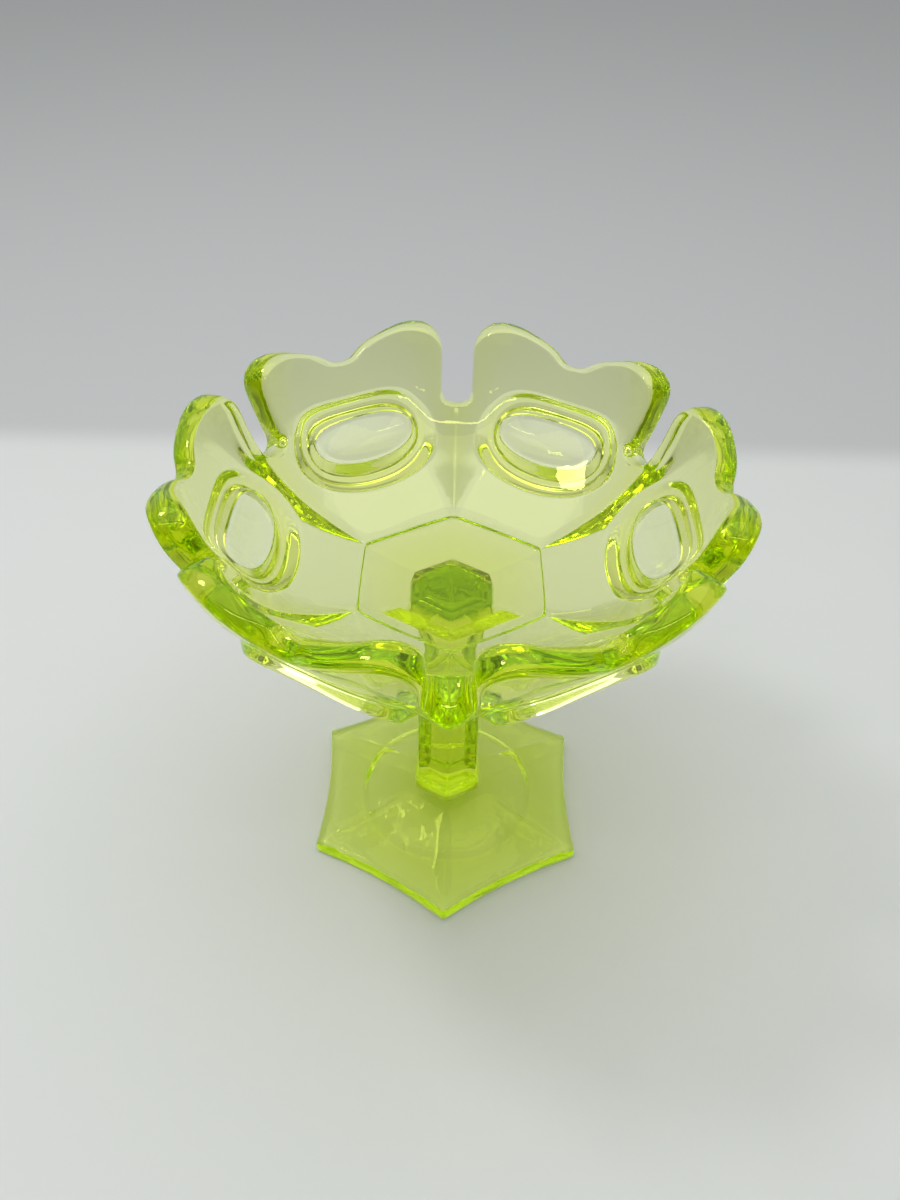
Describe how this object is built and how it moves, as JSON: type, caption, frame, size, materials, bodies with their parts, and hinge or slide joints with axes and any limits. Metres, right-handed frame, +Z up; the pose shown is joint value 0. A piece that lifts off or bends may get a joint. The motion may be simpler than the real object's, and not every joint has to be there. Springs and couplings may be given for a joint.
{
  "type": "footed glass dish",
  "caption": "Footed pressed-glass dish: a flaring panelled bowl with a lobed, notched rim and raised oval lenses, on a faceted stem and a spreading foot.",
  "frame": {"origin": "middle of the flat surface that the foot stands on, on the axis of the stem", "axes": "+Z up along the stem; +X square to one panel of the bowl and one side of the foot; +Y through a notch and a corner of the foot"},
  "size_m": [0.161, 0.1632, 0.1494],
  "materials": {
    "uranium_glass": "fire-polished clear yellow-green glass"
  },
  "bodies": {
    "root": {"bowl": "uranium_glass", "stem": "uranium_glass", "foot": "uranium_glass"}
  },
  "joints": []
}
